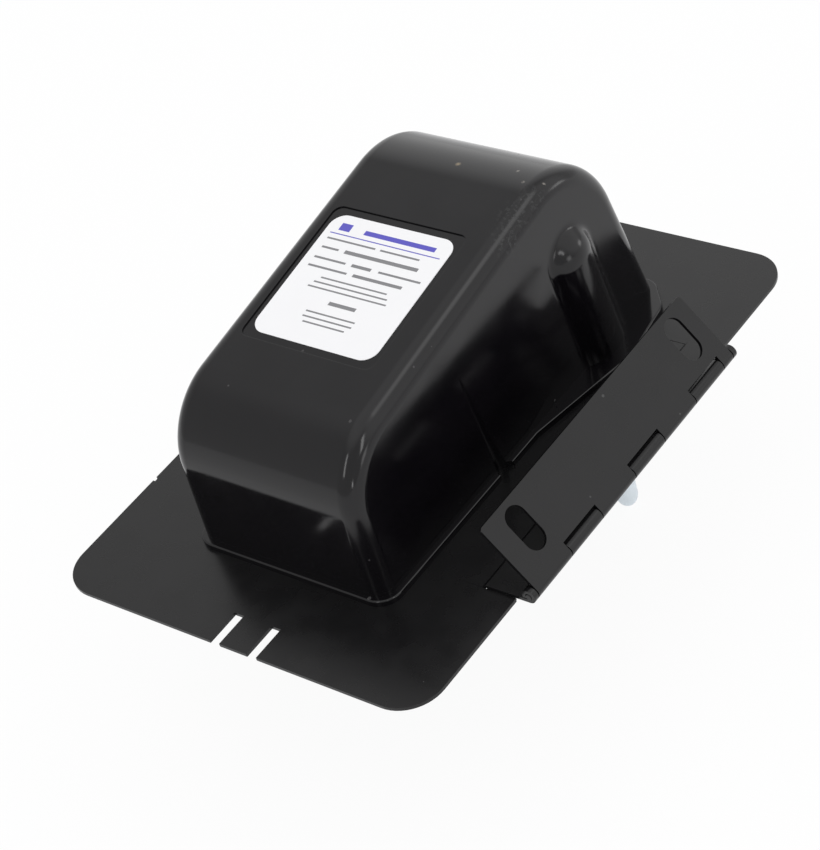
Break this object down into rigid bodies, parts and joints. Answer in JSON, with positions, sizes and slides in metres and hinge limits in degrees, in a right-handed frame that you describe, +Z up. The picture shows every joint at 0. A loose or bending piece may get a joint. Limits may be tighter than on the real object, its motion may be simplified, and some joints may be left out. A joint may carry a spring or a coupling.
{
  "type": "ignition transformer",
  "caption": "Electronic ignition transformer: a moulded housing with a sloped top on a steel plate, which swings on a slotted hinge leaf, with domed high-voltage terminals below.",
  "frame": {"origin": "centre of the mounting plate's underside, on the face that rests on the burner housing", "axes": "+Z up out of the plate through the moulded housing, +Y along the plate towards the tall end with the terminals, +X to the hinge"},
  "size_m": [0.1472, 0.208, 0.1378],
  "materials": {
    "painted_steel": "semi-gloss black paint",
    "steel_wire": "drawn wire",
    "moulded_phenolic": "glossy black moulding",
    "label_film": "matt white film",
    "cover_plastic": "matt black moulding",
    "cast_filling": "cast resin",
    "zinc_steel": "zinc plated",
    "rubber": "soft black",
    "porcelain": "glazed",
    "brass": "plain",
    "zinc_cap": "bright plated",
    "board": "solder mask",
    "capacitor_sleeve": "shrink sleeve",
    "film_yellow": "moulded box",
    "film_red": "dipped",
    "epoxy_black": "moulded epoxy",
    "sink_aluminium": "mill finish",
    "enamel_copper": "enamelled copper wire",
    "enamel_copper_fine": "fine enamelled copper wire",
    "drive_ring": "coated ring with wire",
    "resistor_ceramic": "cement body",
    "fuse_glass": "clear tube",
    "varistor_coat": "dipped epoxy",
    "ferrite": "ground ferrite",
    "spacer_card": "pressed card",
    "bobbin_nylon": "natural nylon",
    "lead_silicone": "silicone sleeve"
  },
  "bodies": {
    "base": {"mounting_plate": "painted_steel", "hinge_pin": "steel_wire", "housing": "moulded_phenolic", "label": "label_film", "base_cover": "cover_plastic", "potting_compound": "cast_filling", "housing_screws": "zinc_steel", "lead_grommet": "rubber", "bushing_left": "porcelain", "bushing_right": "porcelain", "stud_left": "brass", "stud_right": "brass", "terminal_nuts": "zinc_steel", "contact_cap_left": "zinc_cap", "contact_cap_right": "zinc_cap", "circuit_board": "board", "bulk_capacitors": "capacitor_sleeve", "filter_capacitor": "film_yellow", "resonant_capacitor": "film_red", "bridge_rectifier": "epoxy_black", "heat_sink": "sink_aluminium", "power_transistors": "epoxy_black", "line_choke": "enamel_copper", "drive_toroid": "drive_ring", "power_resistor": "resistor_ceramic", "fuse": "fuse_glass", "varistor": "varistor_coat", "ground_strap": "brass", "ground_rivet": "zinc_steel", "core_lower": "ferrite", "core_upper": "ferrite", "core_spacers": "spacer_card", "bobbin_left": "bobbin_nylon", "bobbin_right": "bobbin_nylon", "primary_coils": "enamel_copper", "hv_winding_left": "enamel_copper_fine", "hv_winding_right": "enamel_copper_fine", "hv_lead_left": "lead_silicone", "hv_lead_right": "lead_silicone"},
    "leaf": {"hinge_leaf": "painted_steel"}
  },
  "joints": [
    {"name": "leaf_hinge", "type": "hinge", "parent": "base", "child": "leaf", "pos_m": [0.0749, 0, 0.00355], "axis": [0, 1, 0], "range_deg": [-58, 215]}
  ]
}
